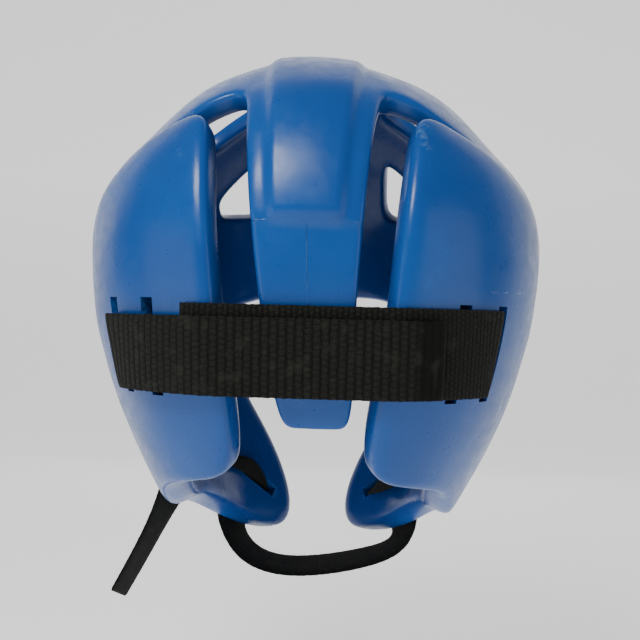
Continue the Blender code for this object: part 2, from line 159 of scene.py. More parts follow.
STATIONS = tuple(
    Station(*row)
    for row in (
        (12, 9, 0.35, 0.57, Lies.SOLID, 1.0, 1.0, 1.0),
        (24, 23, 0.36, 0.58, Lies.SOLID, 1.0, 1.0, 1.0),
        (32, 33, 0.37, 0.60, Lies.SOLID, 0.9, 0.9, 1.0),
        (36, 39, 0.37, 0.62, Lies.VENT, 0.2, 0.2, 0.8),
        (47, 42, 0.37, 0.63, Lies.VENT, 0.0, 0.0, 0.5),
        (57, 46, 0.36, 0.64, Lies.SOLID, 0.0, 0.0, 0.3),
        (67, 57, 0.35, 0.65, Lies.SOLID, 0.0, 0.0, 0.1),
        (76, 68, 0.34, 0.68, Lies.VENT, 0.0, 0.0, 0.0),
        (85, 80, 0.33, 0.70, Lies.VENT, 0.2, 0.0, 0.0),
        (95, 92, 0.33, 0.70, Lies.VENT, 0.3, 0.0, 0.0),
        (104, 104, 0.32, 0.68, Lies.SOLID, 0.3, 0.0, 0.0),
        (114, 115, 0.32, 0.60, Lies.SOLID, 0.3, 0.0, 0.0),
        (123, 124, 0.30, 0.50, Lies.SLIT, 0.3, 0.0, 0.0),
        (129, 128, 0.28, 0.44, Lies.VENT, 0.3, 0.6, 0.6),
        (137, 134, 0.26, 0.41, Lies.VENT, 0.3, 1.0, 1.0),
        (148, 148, 0.24, 0.385, Lies.VENT, 0.2, 1.0, 1.0),
        (158, 158, 0.22, 0.365, Lies.VENT, 0.0, 1.0, 1.0),
        (168, 168, 0.20, 0.345, Lies.VENT, 0.0, 1.0, 1.0),
        (178, 178, 0.185, 0.325, Lies.VENT, 0.0, 1.0, 1.0),
        (189, 188, 0.17, 0.295, Lies.VENT, 0.0, 1.0, 1.0),
        (199, 197, 0.14, 0.27, Lies.OPEN, 0.0, 1.0, 1.0),
        (205, 205, 0.13, 0.265, Lies.OPEN, 0.0, 1.0, 1.0),
        (210, 211, 0.13, 0.28, Lies.OPEN, 0.0, 1.0, 1.0),
        (213, 215, 0.13, 0.40, Lies.OPEN, 0.0, 1.0, 1.0),
        (221, 222, 0.13, 0.52, Lies.OPEN, 0.0, 1.0, 1.0),
        (234, 234, 0.13, 0.59, Lies.OPEN, 0.0, 1.0, 1.0),
        (250, 250, 0.13, 0.60, Lies.OPEN, 0.0, 1.0, 1.0),
        (268, 268, 0.13, 0.61, Lies.OPEN, 0.0, 1.0, 1.0),
        (284, 284, 0.13, 0.62, Lies.OPEN, 0.0, 1.0, 1.0),
        (297, 297, 0.13, 0.58, Lies.OPEN, 0.0, 1.0, 1.0),
        (304, 304, 0.13, 0.49, Lies.OPEN, 0.0, 1.0, 1.0),
        (309, 308, 0.13, 0.36, Lies.OPEN, 0.0, 1.0, 1.0),
        (313, 311, 0.13, 0.21, Lies.OPEN, 0.0, 1.0, 1.0),
        (318, 316, 0.13, 0.16, Lies.OPEN, 0.0, 1.0, 1.0),
        (324, 323, 0.13, 0.22, Lies.OPEN, 0.0, 1.0, 1.0),
        (330, 330, 0.13, 0.32, Lies.OPEN, 0.0, 1.0, 1.0),
        (338, 338, 0.13, 0.44, Lies.OPEN, 0.0, 1.0, 1.0),
        (348, 348, 0.13, 0.54, Lies.OPEN, 0.0, 1.0, 1.0),
        (359, 358, 0.13, 0.58, Lies.OPEN, 0.0, 1.0, 1.0),
    )
)
SIDE_ROWS = (0.25, 0.48, 0.73, 1.0)


@dataclass(frozen=True)
class Stop:
    """One point of the chin strap, in shares of the half width, front reach and jaw drop."""

    across: float
    along: float
    down: float
    way: Way
    facing: tuple[float, float, float] = (0.0, 0.0, 0.0)


CHIN_PATH = (
    Stop(-0.466, -0.566, 0.688, Way.FREE, (-0.50, -0.60, -0.50)),
    Stop(-0.505, -0.867, 0.828, Way.SLOT_OUTWARDS),
    Stop(-0.592, -0.779, 0.917, Way.ON_OUTSIDE),
    Stop(-0.520, -0.726, 1.005, Way.FREE, (-0.75, -0.20, -0.60)),
    Stop(-0.291, -0.708, 1.051, Way.FREE, (-0.25, -0.20, -0.95)),
    Stop(-0.058, -0.690, 1.080, Way.FREE, (-0.10, -0.20, -0.98)),
    Stop(0.194, -0.681, 1.092, Way.FREE, (0.00, -0.20, -0.98)),
    Stop(0.390, -0.690, 1.058, Way.FREE, (0.30, -0.20, -0.93)),
    Stop(0.480, -0.740, 0.985, Way.FREE, (0.75, -0.20, -0.60)),
    Stop(0.592, -0.779, 0.917, Way.ON_OUTSIDE),
    Stop(0.505, -0.867, 0.828, Way.SLOT_INWARDS),
    Stop(0.466, -0.566, 0.688, Way.FREE, (0.50, -0.60, -0.50)),
    Stop(0.718, -0.637, 0.701, Way.SLOT_OUTWARDS),
    Stop(0.786, -0.566, 0.783, Way.FREE, (0.86, -0.20, -0.25)),
    Stop(0.845, -0.478, 0.898, Way.FREE, (0.87, 0.00, -0.18)),
    Stop(0.932, -0.398, 1.019, Way.FREE, (0.87, 0.00, -0.18)),
    Stop(1.029, -0.336, 1.140, Way.FREE, (0.87, 0.00, -0.18)),
)


def unit(vector: np.ndarray) -> np.ndarray:
    """Scale a vector to a length of one.

    Args:
        vector: Any vector that isn't zero.

    Returns:
        The same direction with a length of one.
    """
    return np.asarray(vector, float) / np.linalg.norm(vector)


def step(value: np.ndarray, low: float, high: float) -> np.ndarray:
    """Ease from 0 to 1.

    Args:
        value: What is measured.
        low: Where the result leaves 0. It may lie above high.
        high: Where the result reaches 1.

    Returns:
        A smooth value from 0 to 1.
    """
    share = np.clip((value - low) / (high - low), 0.0, 1.0)
    return share * share * (3.0 - 2.0 * share)


class HeadForm:
    """The bare outside of the shell: rounded horizontal sections under a domed crown."""

    @staticmethod
    def outside(x: np.ndarray, y: np.ndarray, level: np.ndarray) -> np.ndarray:
        """Say how far outside the form points lie.

        A section is a rounded oval: the shares of its half width and of its reach, each to the
        power of ROUNDNESS, add up to one. Above the widest level every size shrinks as a circle
        does towards its top.

        Args:
            x: Distances from the middle plane.
            y: Distances along the head.
            level: Heights.

        Returns:
            Zero on the form, less within it and more outside it.
        """
        up = np.clip((level - WIDEST_LEVEL) / CROWN_RISE, 0.0, 1.0)
        dome = np.sqrt(np.clip(1.0 - up**2, 1e-9, 1.0))
        down = np.clip((WIDEST_LEVEL - level) / JAW_DROP, 0.0, SECTIONS[-1, 0])
        sizes = (np.interp(down, SECTIONS[:, 0], SECTIONS[:, k]) for k in (1, 2, 3, 4))
        width, middle, front, back = sizes
        middle_y = -middle * FRONT_REACH
        front_reach = FRONT_REACH * front * dome + middle_y
        back_reach = BACK_REACH * back * dome - middle_y
        along = np.where(y < middle_y, (middle_y - y) / front_reach, (y - middle_y) / back_reach)
        reach = np.abs(x / (HALF_WIDTH * width * dome)) ** ROUNDNESS + np.abs(along) ** ROUNDNESS - 1.0
        return np.where(level >= CROWN_LEVEL, 1.0 + (level - CROWN_LEVEL), reach)

    @classmethod
    def crossing(cls, start: np.ndarray, heading: np.ndarray) -> np.ndarray:
        """Find how far along each heading the form is met.

        Args:
            start: Points within the form.
            heading: Unit directions.

        Returns:
            Distances, found by halving an interval 40 times for all of them at once.
        """
        low, high = np.zeros(heading.shape[:-1]), np.full(heading.shape[:-1], 0.35)
        for _ in range(40):
            middle = (low + high) / 2
            spot = start + heading * middle[..., None]
            within = cls.outside(spot[..., 0], spot[..., 1], spot[..., 2]) < 0
            low, high = np.where(within, middle, low), np.where(within, high, middle)
        return (low + high) / 2

    @classmethod
    def points(cls, lean: np.ndarray, turn: np.ndarray) -> np.ndarray:
        """Place points on the form.

        Args:
            lean: Angles from the ear axis, in radians.
            turn: Turns about the ear axis, in radians.

        Returns:
            Points, one for each pair of angles.
        """
        heading = np.stack([np.cos(lean), -np.sin(lean) * np.cos(turn), np.sin(lean) * np.sin(turn)], -1)
        start = np.array([0.0, 0.0, EAR_LEVEL])
        return start + heading * cls.crossing(start, heading)[..., None]

    @classmethod
    def lean_at(cls, x: np.ndarray, turn: np.ndarray) -> np.ndarray:
        """Find the angle from the ear axis at which the form is a given distance from the middle.

        Args:
            x: Distances from the middle plane.
            turn: Turns about the ear axis, in radians.

        Returns:
            Angles in radians.
        """
        start = np.stack([x, np.zeros_like(x), np.full_like(x, EAR_LEVEL)], -1)
        heading = np.stack([np.zeros_like(x), -np.cos(turn), np.sin(turn)], -1)
        return np.arctan2(cls.crossing(start, heading), x)


class Graph:
    """A short way to write the nodes of one shader or node group."""

    def __init__(self, tree: bpy.types.NodeTree) -> None:
        """Keep the node tree that the nodes go into."""
        self.tree = tree

    def add(self, kind: str, inputs: dict | None = None, **settings: object) -> bpy.types.Node:
        """Add one node.

        Args:
            kind: The node's type, without its ShaderNode prefix where it has one.
            inputs: Values or sockets for its inputs, by name or place.
            settings: Its properties.

        Returns:
            The node.
        """
        name = kind if kind.startswith("NodeGroup") else f"ShaderNode{kind}"
        node = self.tree.nodes.new(name)
        for key, value in settings.items():
            setattr(node, key, value)
        for key, value in (inputs or {}).items():
            if isinstance(value, bpy.types.NodeSocket):
                self.tree.links.new(value, node.inputs[key])
            else:
                node.inputs[key].default_value = value
        return node

    def math(self, operation: str, *values: object, clamp: bool = False) -> bpy.types.NodeSocket:
        """Add a Math node.

        Args:
            operation: Its operation.
            values: Numbers or sockets.
            clamp: Whether its result stays from 0 to 1.

        Returns:
            Its result.
        """
        return self.add("Math", dict(enumerate(values)), operation=operation, use_clamp=clamp).outputs[0]

    def ramp(
        self, value: object, low: float, high: float, start: object = 0.0, end: object = 1.0
    ) -> bpy.types.NodeSocket:
        """Ease a value from one range into another.

        Args:
            value: The socket to read.
            low: Where the result is start.
            high: Where the result is end.
            start: The result at low.
            end: The result at high.

        Returns:
            The eased value.
        """
        inputs = {"Value": value, "From Min": low, "From Max": high, "To Min": start, "To Max": end}
        return self.add("MapRange", inputs, interpolation_type="SMOOTHSTEP").outputs[0]

    def noise(
        self, place: object, scale: float, detail: float = 2.0, rough: float = 0.5
    ) -> bpy.types.NodeSocket:
        """Add a Noise texture.

        Args:
            place: The coordinates.
            scale: Waves in a metre.
            detail: How many finer layers it has.
            rough: How strong they are.

        Returns:
            Its value from 0 to 1.
        """
        inputs = {"Vector": place, "Scale": scale, "Detail": detail, "Roughness": rough}
        return self.add("TexNoise", inputs).outputs[0]

    def bump(self, height: object, distance: float, normal: object = None) -> bpy.types.NodeSocket:
        """Turn a height into a normal.

        Args:
            height: Heights from 0 to 1.
            distance: Metres for a height of 1.
            normal: A normal to start from.

        Returns:
            The bent normal.
        """
        inputs = {"Height": height, "Distance": distance, "Strength": 1.0}
        if normal is not None:
            inputs["Normal"] = normal
        return self.add("Bump", inputs).outputs[0]

    def mix(self, share: object, first: object, second: object) -> bpy.types.NodeSocket:
        """Mix two colours.

        Args:
            share: How much of the second there is.
            first: A colour or socket.
            second: A colour or socket.

        Returns:
            The mixed colour.
        """
        node = self.add("Mix", data_type="RGBA")
        for place, value in ((0, share), (6, first), (7, second)):
            if isinstance(value, bpy.types.NodeSocket):
                self.tree.links.new(value, node.inputs[place])
            else:
                node.inputs[place].default_value = value
        return node.outputs[2]


def threads_group() -> bpy.types.NodeTree:
    """Make the group that gives the heights of a woven or ribbed band.

    Returns:
        A group with a Place, the spacing of its columns and rows and the share that alternate
        rows are set off by, which gives a Height from 0 to 1 and the Fibres within it.
    """
    group = bpy.data.node_groups.new("threads", "ShaderNodeTree")
    group.interface.new_socket("Place", in_out="INPUT", socket_type="NodeSocketVector")
    for name in ("Columns", "Rows", "Offset"):
        group.interface.new_socket(name, in_out="INPUT", socket_type="NodeSocketFloat")
    for name in ("Height", "Fibres"):
        group.interface.new_socket(name, in_out="OUTPUT", socket_type="NodeSocketFloat")
    graph = Graph(group)
    source = graph.add("NodeGroupInput").outputs
    drift = graph.noise(source["Place"], 260.0, 3.0, 0.6)
    apart = graph.add("SeparateXYZ", {0: source["Place"]}).outputs
    swerve = graph.math("SUBTRACT", drift, 0.5)
    along = graph.math("MULTIPLY_ADD", swerve, 0.0009, apart[0])
    across = graph.math("MULTIPLY_ADD", swerve, 0.0012, apart[1])
    columns = graph.math("DIVIDE", along, source["Columns"])
    odd = graph.math("MODULO", graph.math("FLOOR", columns), 2.0)
    rows = graph.math("MULTIPLY_ADD", odd, source["Offset"], graph.math("DIVIDE", across, source["Rows"]))
    rib = graph.math("ABSOLUTE", graph.math("SINE", graph.math("MULTIPLY", columns, math.pi)))
    dot = graph.math("ABSOLUTE", graph.math("SINE", graph.math("MULTIPLY", rows, math.pi)))
    knots = graph.math("MULTIPLY_ADD", dot, 0.45, 0.55)
    height = graph.math("MULTIPLY", graph.math("POWER", rib, 0.6), knots)
    fibres = graph.noise(source["Place"], 2600.0, 3.0, 0.7)
    graph.add("NodeGroupOutput", {"Height": height, "Fibres": fibres})
    return group


def unevenness_group() -> bpy.types.NodeTree:
    """Make the group that gives the slow waves and the fine peel of a dipped skin or a soft band.

    Returns:
        A group with a Place, which gives Waves and Peel from 0 to 1.
    """
    group = bpy.data.node_groups.new("unevenness", "ShaderNodeTree")
    group.interface.new_socket("Place", in_out="INPUT", socket_type="NodeSocketVector")
    for name in ("Waves", "Peel"):
        group.interface.new_socket(name, in_out="OUTPUT", socket_type="NodeSocketFloat")
    graph = Graph(group)
    place = graph.add("NodeGroupInput").outputs["Place"]
    graph.add(
        "NodeGroupOutput",
        {
            "Waves": graph.noise(place, 22.0, 2.0, 0.4),
            "Peel": graph.noise(place, 170.0, 2.0, 0.5),
        },
    )
    return group


@dataclass(frozen=True)
class VinylFinish:
    """The dipped skin of the foam: its colours, gloss, the depth of its mould lines and blemishes, and the
    painted shade of its inside.
    """

    name: str = "dipped_blue_vinyl"
    colour: tuple[float, float, float, float] = (0.0013, 0.070, 0.30, 1.0)
    # deep: a darker blue, used for the random tone of the waves and for the painted shade on the inside
    # faces.
    deep: tuple[float, float, float, float] = (0.001, 0.030, 0.17, 1.0)
    scuff: tuple[float, float, float, float] = (0.10, 0.26, 0.55, 1.0)
    roughness: float = 0.30

    def build(self, groups: dict[str, bpy.types.NodeTree]) -> bpy.types.Material:
        """Make the material.

        Args:
            groups: The shared node groups.

        Returns:
            A glossy skin with mould lines, soft waves, faint scuffs and painted shade on its inside faces.
        """
        material = bpy.data.materials.new(self.name)
        material.use_nodes = True
        graph = Graph(material.node_tree)
        shader = material.node_tree.nodes["Principled BSDF"]
        place = graph.add("TexCoord").outputs["Object"]
        effect = graph.add("Group", {"Place": place}, node_tree=groups["unevenness"]).outputs
        mould_marks_and_inner_shade = graph.add("Attribute", attribute_name="mould_marks_and_inner_shade").outputs["Vector"]
        mark_and_inner_shade = graph.add("SeparateXYZ", {0: mould_marks_and_inner_shade}).outputs
        wobble = graph.math("SUBTRACT", graph.noise(place, 120.0, 3.0, 0.6), 0.5)
        away = graph.math("ABSOLUTE", graph.math("MULTIPLY_ADD", wobble, 0.10, mark_and_inner_shade[0]))
        line = graph.math("SUBTRACT", 1.0, graph.math("DIVIDE", away, 0.05), clamp=True)
        broken = graph.ramp(graph.noise(place, 60.0, 3.0, 0.7), 0.42, 0.58, 0.15, 1.0)
        flash = graph.math("MULTIPLY", line, broken)
        blotch = graph.ramp(graph.noise(place, 95.0, 4.0, 0.7), 0.60, 0.68)
        blemish = graph.math("MULTIPLY", blotch, mark_and_inner_shade[1])
        tone = graph.mix(graph.ramp(effect["Waves"], 0.35, 0.65, 0.0, 0.25), self.colour, self.deep)
        tone = graph.mix(graph.math("MULTIPLY", flash, 0.30), tone, self.scuff)
        tone = graph.mix(graph.math("MULTIPLY", blemish, 0.35), tone, self.scuff)
        # Painted shade: the inside faces are darkened toward the deep blue, standing in for the shadow within
        # the shell.
        tone = graph.mix(graph.math("MULTIPLY", mark_and_inner_shade[2], 0.75), tone, self.deep)
        normal = graph.bump(effect["Waves"], 0.0016)
        normal = graph.bump(effect["Peel"], 0.00006, normal=normal)
        normal = graph.bump(flash, 0.0005, normal=normal)
        normal = graph.bump(blemish, 0.0006, normal=normal)
        tree = material.node_tree
        tree.links.new(tone, shader.inputs["Base Color"])
        tree.links.new(normal, shader.inputs["Normal"])
        rough = graph.ramp(effect["Peel"], 0.3, 0.7, self.roughness - 0.03, self.roughness + 0.06)
        tree.links.new(rough, shader.inputs["Roughness"])
        shader.inputs["Specular IOR Level"].default_value = 0.30
        shader.inputs["Coat Weight"].default_value = 0.12
        shader.inputs["Coat Roughness"].default_value = 0.18
        return material


@dataclass(frozen=True)
class BandFinish:
    """A woven, ribbed or fuzzy black band: the spacing of its threads and how deep they are."""

    name: str
    columns: float
    rows: float
    offset: float
    depth: float
    colour: tuple[float, float, float, float] = (0.0022, 0.0022, 0.0020, 1.0)
    light: tuple[float, float, float, float] = (0.030, 0.031, 0.025, 1.0)
    plain_end: float = 0.0
    fuzz: float = 0.0002

    def build(self, groups: dict[str, bpy.types.NodeTree]) -> bpy.types.Material:
        """Make the material.

        Args:
            groups: The shared node groups.

        Returns:
            A dull textile whose threads follow the band's own map.
        """
        material = bpy.data.materials.new(self.name)
        material.use_nodes = True
        graph = Graph(material.node_tree)
        shader = material.node_tree.nodes["Principled BSDF"]
        place = graph.add("UVMap", uv_map="band").outputs[0]
        inputs = {"Place": place, "Columns": self.columns, "Rows": self.rows, "Offset": self.offset}
        threads = graph.add("Group", inputs, node_tree=groups["threads"]).outputs
        along = graph.add("SeparateXYZ", {0: place}).outputs[0]
        ribbed = graph.ramp(along, self.plain_end, self.plain_end + 0.002, 0.25, 1.0)
        height = graph.math("MULTIPLY", threads["Height"], ribbed)
        solid = graph.add("TexCoord").outputs["Object"]
        waves = graph.add("Group", {"Place": solid}, node_tree=groups["unevenness"]).outputs
        lit = graph.math("MULTIPLY", height, graph.ramp(threads["Fibres"], 0.35, 0.7))
        tone = graph.mix(lit, self.colour, self.light)
        tone = graph.mix(graph.ramp(waves["Peel"], 0.55, 0.75, 0.0, 0.35), tone, self.light)
        normal = graph.bump(height, self.depth)
        normal = graph.bump(threads["Fibres"], self.fuzz, normal=normal)
        normal = graph.bump(waves["Waves"], 0.0012, normal=normal)
        tree = material.node_tree
        tree.links.new(tone, shader.inputs["Base Color"])
        tree.links.new(normal, shader.inputs["Normal"])
        shader.inputs["Roughness"].default_value = 0.92
        shader.inputs["Specular IOR Level"].default_value = 0.12
        shader.inputs["Sheen Weight"].default_value = 0.02
        shader.inputs["Sheen Roughness"].default_value = 0.5
        return material


def make_object(
    name: str, points: np.ndarray, faces: np.ndarray, material: bpy.types.Material
) -> bpy.types.Object:
    """Link a smooth-shaded mesh.

    Args:
        name: The piece's name.
        points: Rows of x, y and z.
        faces: Rows of four point numbers.
        material: Its material.

    Returns:
        The new object, at the origin.
    """
    used, renumbered = np.unique(faces, return_inverse=True)
    mesh = bpy.data.meshes.new(name)
    mesh.from_pydata(points[used].tolist(), [], renumbered.reshape(faces.shape).tolist())
    mesh.shade_smooth()
    mesh.materials.append(material)
    made = bpy.data.objects.new(name, mesh)
    bpy.context.scene.collection.objects.link(made)
    return made


@dataclass
class FoamShell:
    """The one-piece foam shell with its bands, panels, lobes, vents and slots."""

    material: bpy.types.Material
    piece: bpy.types.Object = field(init=False)
    skin: "Skin" = field(init=False)

    def build(self) -> bpy.types.Object:
        """Make the shell, round it off, add its moulded detail and keep its skin for the straps.

        Returns:
            The shell, still without its slots.
        """
        cage = self._cage()
        rounding = cage.modifiers.new("rounding", "SUBSURF")
        rounding.levels = rounding.render_levels = 3
        graph = bpy.context.evaluated_depsgraph_get()
        mesh = bpy.data.meshes.new_from_object(cage.evaluated_get(graph))
        bpy.data.objects.remove(cage)
        mesh.name = "foam_shell_skin"
        self.piece = bpy.data.objects.new("foam_shell_skin", mesh)
        bpy.context.scene.collection.objects.link(self.piece)
        self._mould(mesh)
        mesh.shade_smooth()
        self.skin = Skin(self.piece)
        return self.piece

    def _half_grid(self) -> tuple[np.ndarray, np.ndarray, np.ndarray]:
        """Lay the grid from the middle to one ear rim: leans, turns and pad rises."""
        names = ("turn_mid", "turn_side", "band", "gap", "rise_mid", "rise_gap", "rise_side")
        rows = np.array([[getattr(station, name) for name in names] for station in STATIONS])
        turn_mid, turn_side = np.radians(rows[:, 0]), np.radians(rows[:, 1])
        band, gap = rows[:, 2] * HALF_WIDTH, rows[:, 3] * HALF_WIDTH
        between = (turn_mid + turn_side) / 2
        oval = np.hypot(EAR_HALF_HEIGHT * np.cos(turn_side), EAR_HALF_LENGTH * np.sin(turn_side))
        ear = np.arctan2(EAR_HALF_LENGTH * EAR_HALF_HEIGHT / oval, HALF_WIDTH)
        gap_lean = HeadForm.lean_at(gap, turn_side)
        leans = [np.full_like(band, math.pi / 2)]
        leans += [HeadForm.lean_at(band * 0.55, turn_mid), HeadForm.lean_at(band, turn_mid)]
        leans += [HeadForm.lean_at((band + gap) / 2, between), gap_lean]
        leans += [gap_lean + (ear - gap_lean) * share for share in SIDE_ROWS]
        turns = [turn_mid] * 3 + [between] + [turn_side] * 5
        mid, at_gap, side = (rows[:, k] * PAD_RISE for k in (4, 5, 6))
        full = np.full_like(mid, PAD_RISE)
        edge = np.where(rows[:, 4] > 0.5, mid, mid * 0.2)
        rises = [mid, mid, edge, (mid + at_gap) / 2, at_gap, side, full, full, full]
        return np.array(leans).T, np.array(turns).T, np.array(rises).T

    def _layers(self) -> tuple[np.ndarray, np.ndarray]:
        """Place the outer and inner points: the form moved out by the pad and in by the wall."""
        lean, turn, rise = self._half_grid()
        nudge = 1e-3
        bare = HeadForm.points(lean, turn)
        across = HeadForm.points(lean + nudge, turn) - HeadForm.points(lean - nudge, turn)
        along = HeadForm.points(lean, turn + nudge) - HeadForm.points(lean, turn - nudge)
        normal = np.cross(along, across)
        normal /= np.linalg.norm(normal, axis=-1, keepdims=True)
        normal *= np.sign(np.sum(normal * (bare - [0, 0, EAR_LEVEL]), axis=-1, keepdims=True))
        outer, inner = bare + normal * rise[..., None], bare - normal * BAND_WALL
        mirror = np.array([-1.0, 1.0, 1.0])
        outer, inner = (np.concatenate([(side * mirror)[:, :0:-1], side], axis=1) for side in (outer, inner))
        return outer, inner

    def _cage(self) -> bpy.types.Object:
        """Make the coarse cage.

        The two layers share one grid of columns and rows. Each present cell gives a face on both
        layers, and each edge between a present and an absent cell gives a rim face.
        """
        outer, inner = self._layers()
        columns, length = outer.shape[:2]
        half = np.ones((columns, (length - 1) // 2), bool)
        for index, station in enumerate(STATIONS):
            half[index, list(station.lies.value)] = False
        cells = np.concatenate([half[:, ::-1], half], axis=1)
        number = np.arange(columns * length).reshape(columns, length)
        after = np.roll(number, -1, axis=0)
        corners = np.stack([number[:, :-1], after[:, :-1], after[:, 1:], number[:, 1:]], -1)
        padded = np.pad(cells, ((0, 0), (1, 1)))
        lacking = (~padded[:, :-2], ~np.roll(cells, -1, axis=0), ~padded[:, 2:], ~np.roll(cells, 1, axis=0))
        layer = columns * length
        sheets = [corners[cells], corners[cells][:, ::-1] + layer]
        rims = []
        for k, missing in enumerate(lacking):
            start, end = corners[..., k][cells & missing], corners[..., (k + 1) % 4][cells & missing]
            rims.append(np.stack([start, start + layer, end + layer, end], -1))
        faces = np.concatenate(sheets + rims)
        points = np.concatenate([outer.reshape(-1, 3), inner.reshape(-1, 3)])
        cage = make_object("foam_cage", points, faces, self.material)
        self._crease(cage.data, np.unique(faces), np.concatenate(rims), layer)
        place = np.tile(np.abs(np.arange(length) - length // 2), columns)
        grid = np.stack([np.tile(place, 2), np.repeat([0.0, 1.0], layer), np.zeros(2 * layer)], -1)
        grid = grid[np.unique(faces)]
        attribute = cage.data.attributes.new("grid", "FLOAT_VECTOR", "POINT")
        attribute.data.foreach_set("vector", grid.astype(np.float32).ravel())
        work = bmesh.new()
        work.from_mesh(cage.data)
        bmesh.ops.recalc_face_normals(work, faces=work.faces)
        work.to_mesh(cage.data)
        work.free()
        return cage

    def _crease(self, mesh: bpy.types.Mesh, used: np.ndarray, rims: np.ndarray, layer: int) -> None:
        """Tighten the edges of the rims, so that they stay as square as moulded foam."""
        pairs = np.concatenate([rims[:, [0, 3]], rims[:, [1, 2]]])
        pairs = np.searchsorted(used, pairs)
        total = len(used)
        wanted = np.sort(pairs, axis=1) @ [total, 1]
        ends = np.empty(len(mesh.edges) * 2, np.int32)
        mesh.edges.foreach_get("vertices", ends)
        present = np.sort(ends.reshape(-1, 2).astype(np.int64), axis=1) @ [total, 1]
        crease = mesh.attributes.new("crease_edge", "FLOAT", "EDGE")
        crease.data.foreach_set("value", np.where(np.isin(present, wanted), 0.35, 0.0).astype(np.float32))

    def _mould(self, mesh: bpy.types.Mesh) -> None:
        """Move the rounded mesh's points to give it its moulded detail.

        Each detail is a smooth step or bump, measured in the grid's rows, x and height, times a
        depth along the normal: the raised pad of the centre band, the recess below its seam and
        slow waves. The mould lines, the blemish corners and a mask of the inside faces, which the
        material darkens as painted shade, are kept as an attribute for the material.
        """
        count = len(mesh.vertices)
        spots, normals, grid = np.empty(count * 3), np.empty(count * 3), np.empty(count * 3, np.float32)
        mesh.vertices.foreach_get("co", spots)
        mesh.vertices.foreach_get("normal", normals)
        mesh.attributes["grid"].data.foreach_get("vector", grid)
        spots, normals, grid = spots.reshape(-1, 3), normals.reshape(-1, 3), grid.reshape(-1, 3).astype(float)
        x, y, z = spots.T
        row, inner = grid[:, 0], grid[:, 1]
        outer = 1.0 - step(inner, 0.0, 0.3)
        height = z - EYE_LEVEL
        back = step(y, 0.0, 0.02)
        on_band = 1.0 - step(row, 2.0, 2.3)
        pad = (1.0 - step(row, 1.0, 1.35)) * step(height, 0.036, 0.040) * (y > -0.03)
        lift = 0.0022 * pad * outer * on_band
        below = on_band * back * (1.0 - step(height, 0.034, 0.038))
        lift -= 0.0012 * below * outer
        waves = np.sin(x * 61 + z * 37) * np.sin(y * 53 - z * 41) + np.sin(x * 97 - y * 71 + 1.0) * 0.5
        lift += 0.00035 * waves
        spots = spots + normals * lift[:, None]
        spots = self._settle(spots, row, back)
        mesh.vertices.foreach_set("co", spots.ravel())
        behind = (y > 0) & (inner < 0.2)
        flash = np.abs(row - 4.45) * 1.2 + np.where((back > 0.5) & (inner < 0.2), 0.0, 1.0)
        seam = np.abs(height - 0.0365) / 0.008 + np.where(behind & (row < 2.05), 0.0, 1.0)
        middle = row * 2.0 + np.where(behind & (height < 0.036), 0.0, 1.0)
        fold = np.abs(height - np.where(x < 0, 0.0117, 0.0198)) / 0.012
        fold += np.where(behind & (row > 5.0), 0.0, 1.0)
        lines = np.minimum(np.minimum(flash, seam), np.minimum(middle, fold))
        corner = step(height, 0.05, 0.085) * back * (1.0 - step(row, 4.0, 4.7)) * (row > 3.6)
        # The third share is a mask of the inside faces, which the material darkens as painted shade.
        mould_marks_and_inner_shade = np.stack([lines, corner, step(inner, 0.3, 0.9)], -1)
        attribute = mesh.attributes.new("mould_marks_and_inner_shade", "FLOAT_VECTOR", "POINT")
        attribute.data.foreach_set("vector", mould_marks_and_inner_shade.astype(np.float32).ravel())
        mesh.update()

    @staticmethod
    def _settle(spots: np.ndarray, row: np.ndarray, back: np.ndarray) -> np.ndarray:
        """Lean the tongue towards -X as it does in use.

        Args:
            spots: The mesh's points.
            row: The grid row of each, from the middle.
            back: How far each lies on the back half.

        Returns:
            The points, moved sideways by the square of their share of the way down the tongue.
        """
        height = spots[:, 2] - EYE_LEVEL
        share = np.clip((0.05 - height) / 0.095, 0.0, 1.0) ** 1.5
        moved = spots.copy()
        moved[:, 0] -= 0.0055 * share * back * (1.0 - step(row, 2.4, 2.6))
        return moved

    def cut(self, cutters: list[tuple]) -> None:
        """Cut slots through the wall.

        Args:
            cutters: For each slot its centre, the wall's normal, the slot's direction, and its
                length, width and depth.
        """
        work = bmesh.new()
        for centre, normal, along, size in cutters:
            normal = unit(normal)
            along = unit(np.asarray(along) - normal * np.dot(along, normal))
            across = np.cross(along, normal)
            box = bmesh.ops.create_cube(work, size=1.0)["verts"]
            edges = {edge for vertex in box for edge in vertex.link_edges}
            uprights = [edge for edge in edges if abs(edge.verts[0].co.z - edge.verts[1].co.z) > 0.5]
            frame = np.stack([across * size[1], along * size[0], normal * size[2]], axis=1)
            for vertex in box:
                vertex.co = Vector(frame @ np.array(vertex.co) + centre)
            bmesh.ops.bevel(work, geom=uprights, offset=size[1] * 0.45, segments=4, affect="EDGES")
        mesh = bpy.data.meshes.new("slot_cutters")
        work.to_mesh(mesh)
        work.free()
        cutter = bpy.data.objects.new("slot_cutters", mesh)
        bpy.context.scene.collection.objects.link(cutter)
        slots = self.piece.modifiers.new("slots", "BOOLEAN")
        slots.object = cutter
        slots.solver = "EXACT"
        graph = bpy.context.evaluated_depsgraph_get()
        whole = bpy.data.meshes.new_from_object(self.piece.evaluated_get(graph))
        self.piece.modifiers.remove(slots)
        self.piece.data = whole
        bpy.data.objects.remove(cutter)
        whole.shade_smooth()
        whole.set_sharp_from_angle(angle=math.radians(42))


